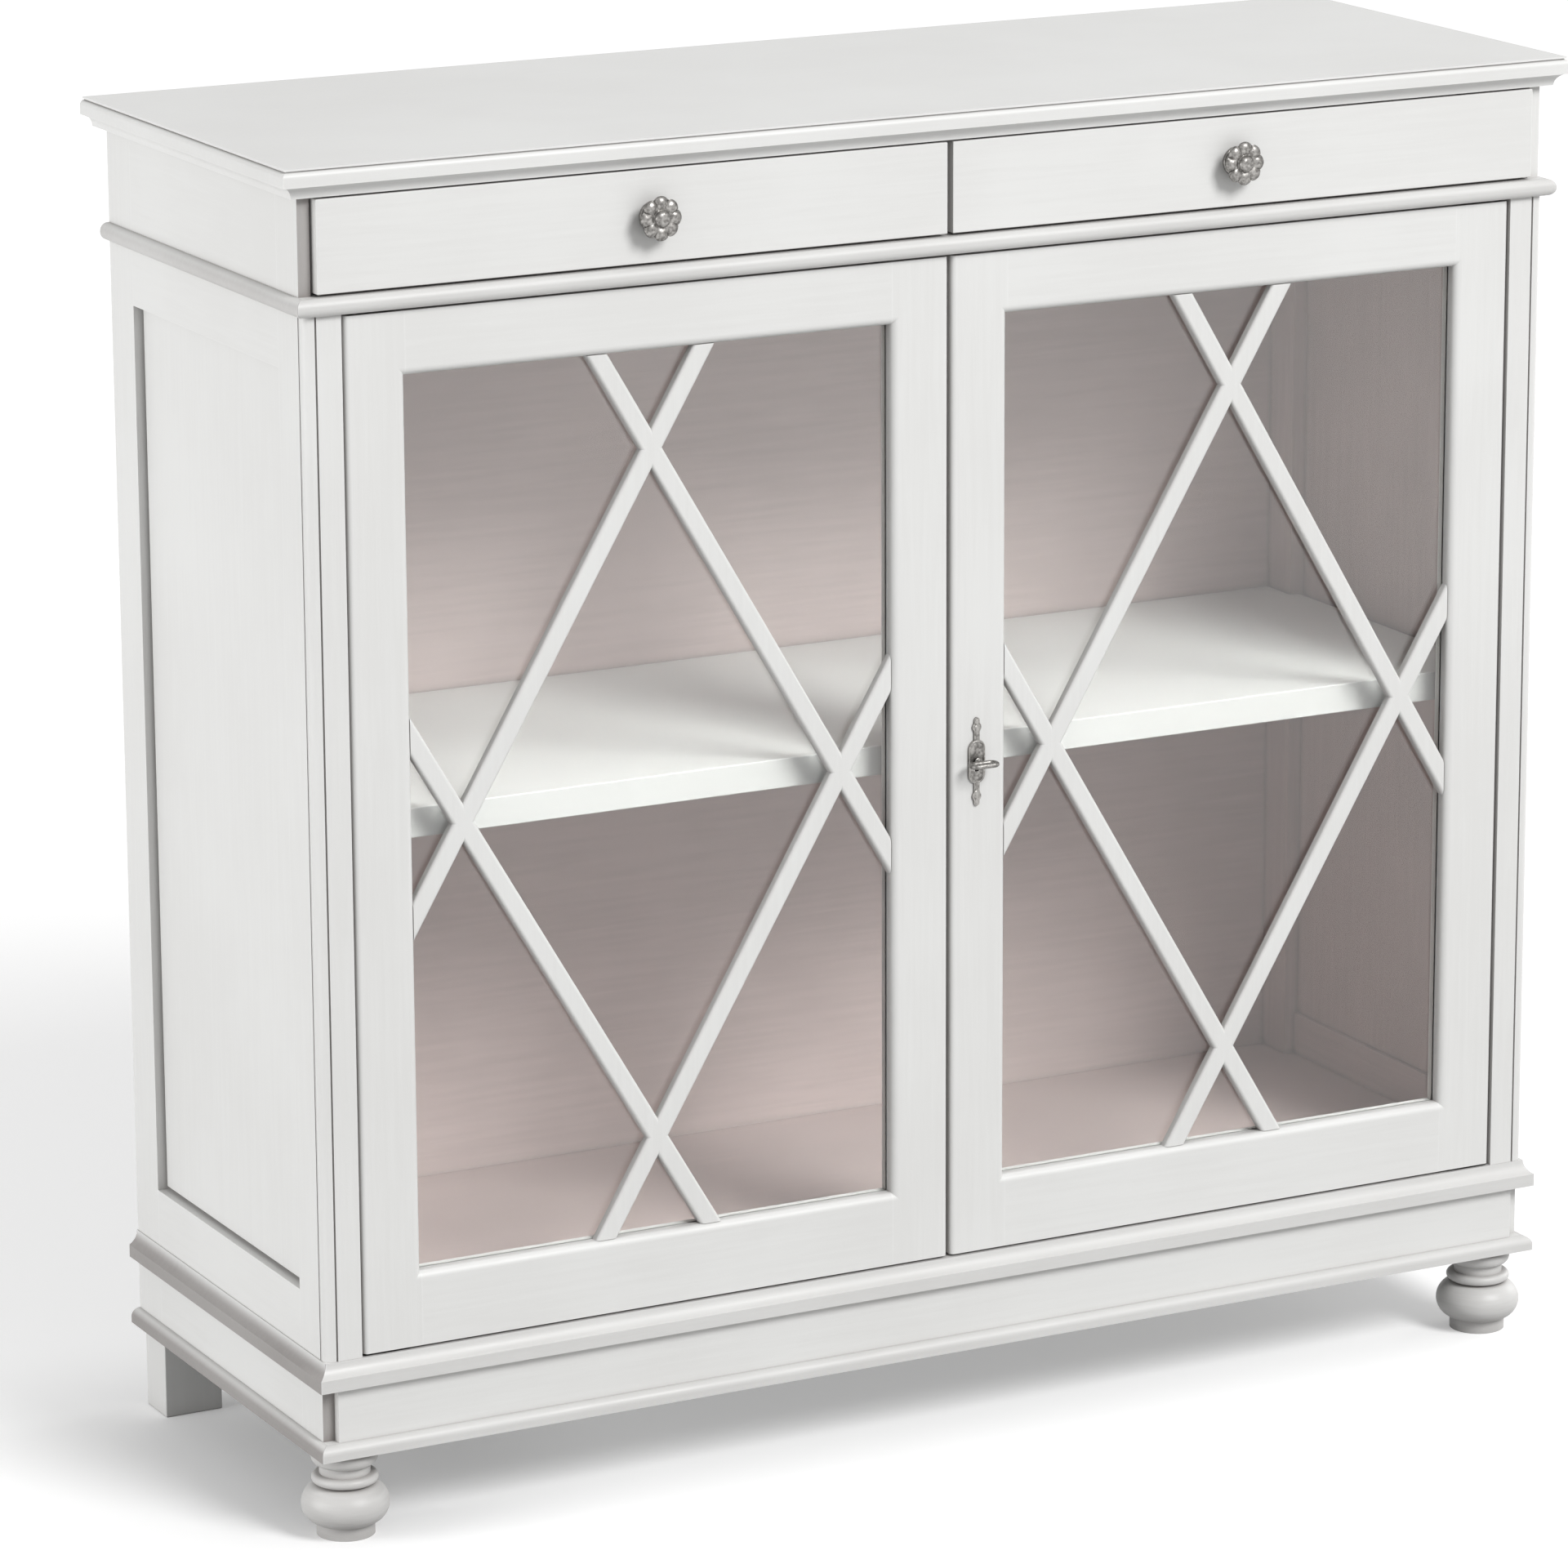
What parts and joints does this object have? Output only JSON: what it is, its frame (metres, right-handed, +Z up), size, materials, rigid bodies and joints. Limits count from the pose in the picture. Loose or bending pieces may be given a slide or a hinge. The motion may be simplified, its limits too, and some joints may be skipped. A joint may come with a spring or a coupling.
{
  "type": "glazed bookcase",
  "caption": "Low white glazed bookcase: drawers over hinged doors with lozenge glazing bars, a shelf inside, moulded plinth and turned feet.",
  "frame": {"origin": "on the floor under the centre of the outside box, which runs from the key's bow and the drawer knobs at the front to the top's back edge", "axes": "+Z up, +X towards the viewer's right, front facing -Y"},
  "size_m": [1.14, 0.41, 1.09],
  "materials": {
    "white_paint": "satin white lacquer",
    "inner_paint": "matt off-white paint",
    "drawer_wood": "planed bare wood",
    "pewter": "antique pewter",
    "steel": "dull plated steel",
    "glass": "clear float glass"
  },
  "bodies": {
    "case": {"top_board": "white_paint", "front_post_left": "white_paint", "front_post_right": "white_paint", "rear_post_left": "white_paint", "rear_post_right": "white_paint", "side_top_rail_left": "white_paint", "side_top_rail_right": "white_paint", "side_bottom_rail_left": "white_paint", "side_bottom_rail_right": "white_paint", "side_panel_left": "white_paint", "side_panel_right": "white_paint", "back_panel": "inner_paint", "bottom_board": "inner_paint", "waist_rail": "white_paint", "drawer_deck": "inner_paint", "top_front_rail": "inner_paint", "rear_bottom_rail": "inner_paint", "drawer_divider": "inner_paint", "waist_moulding": "white_paint", "plinth_board": "white_paint", "plinth_cap_moulding": "white_paint", "base_moulding": "white_paint", "bun_foot_left": "white_paint", "bun_foot_right": "white_paint", "rear_leg_left": "white_paint", "rear_leg_right": "white_paint", "shelf": "inner_paint", "shelf_pins": "steel", "case_pivots": "steel"},
    "left_door": {"left_hinge_stile": "white_paint", "left_meeting_stile": "white_paint", "left_top_rail": "white_paint", "left_bottom_rail": "white_paint", "left_lattice": "white_paint", "left_glass": "glass", "left_glazing_beads": "white_paint", "left_pivots": "steel", "strike_plate": "steel"},
    "right_door": {"right_hinge_stile": "white_paint", "right_meeting_stile": "white_paint", "right_top_rail": "white_paint", "right_bottom_rail": "white_paint", "right_lattice": "white_paint", "right_glass": "glass", "right_glazing_beads": "white_paint", "right_pivots": "steel", "escutcheon": "pewter", "lock_case": "steel"},
    "left_drawer": {"left_drawer_front": "white_paint", "left_drawer_sides": "drawer_wood", "left_drawer_back": "drawer_wood", "left_drawer_bottom": "drawer_wood", "left_knob": "pewter"},
    "right_drawer": {"right_drawer_front": "white_paint", "right_drawer_sides": "drawer_wood", "right_drawer_back": "drawer_wood", "right_drawer_bottom": "drawer_wood", "right_knob": "pewter"},
    "key": {"key": "pewter"},
    "lock_bolt": {"lock_bolt": "steel"}
  },
  "joints": [
    {"name": "left_door_hinge", "type": "hinge", "parent": "case", "child": "left_door", "pos_m": [-0.507, -0.177, 0.5635], "axis": [0, 0, -1], "range_deg": [0, 110]},
    {"name": "right_door_hinge", "type": "hinge", "parent": "case", "child": "right_door", "pos_m": [0.507, -0.177, 0.5635], "axis": [0, 0, 1], "range_deg": [0, 110]},
    {"name": "left_drawer_slide", "type": "slide", "parent": "case", "child": "left_drawer", "axis": [0, -1, 0], "range_m": [0, 0.25]},
    {"name": "right_drawer_slide", "type": "slide", "parent": "case", "child": "right_drawer", "axis": [0, -1, 0], "range_m": [0, 0.25]},
    {"name": "key_turn", "type": "hinge", "parent": "right_door", "child": "key", "pos_m": [0.024, -0.185, 0.5635], "axis": [0, -1, 0], "range_deg": [0, 180]},
    {"name": "bolt_throw", "type": "slide", "parent": "right_door", "child": "lock_bolt", "axis": [-1, 0, 0], "range_m": [0, 0.008]}
  ],
  "couplings": [
    {"joint": "bolt_throw", "follows": "key_turn", "m_per_rad": 0.002546}
  ]
}
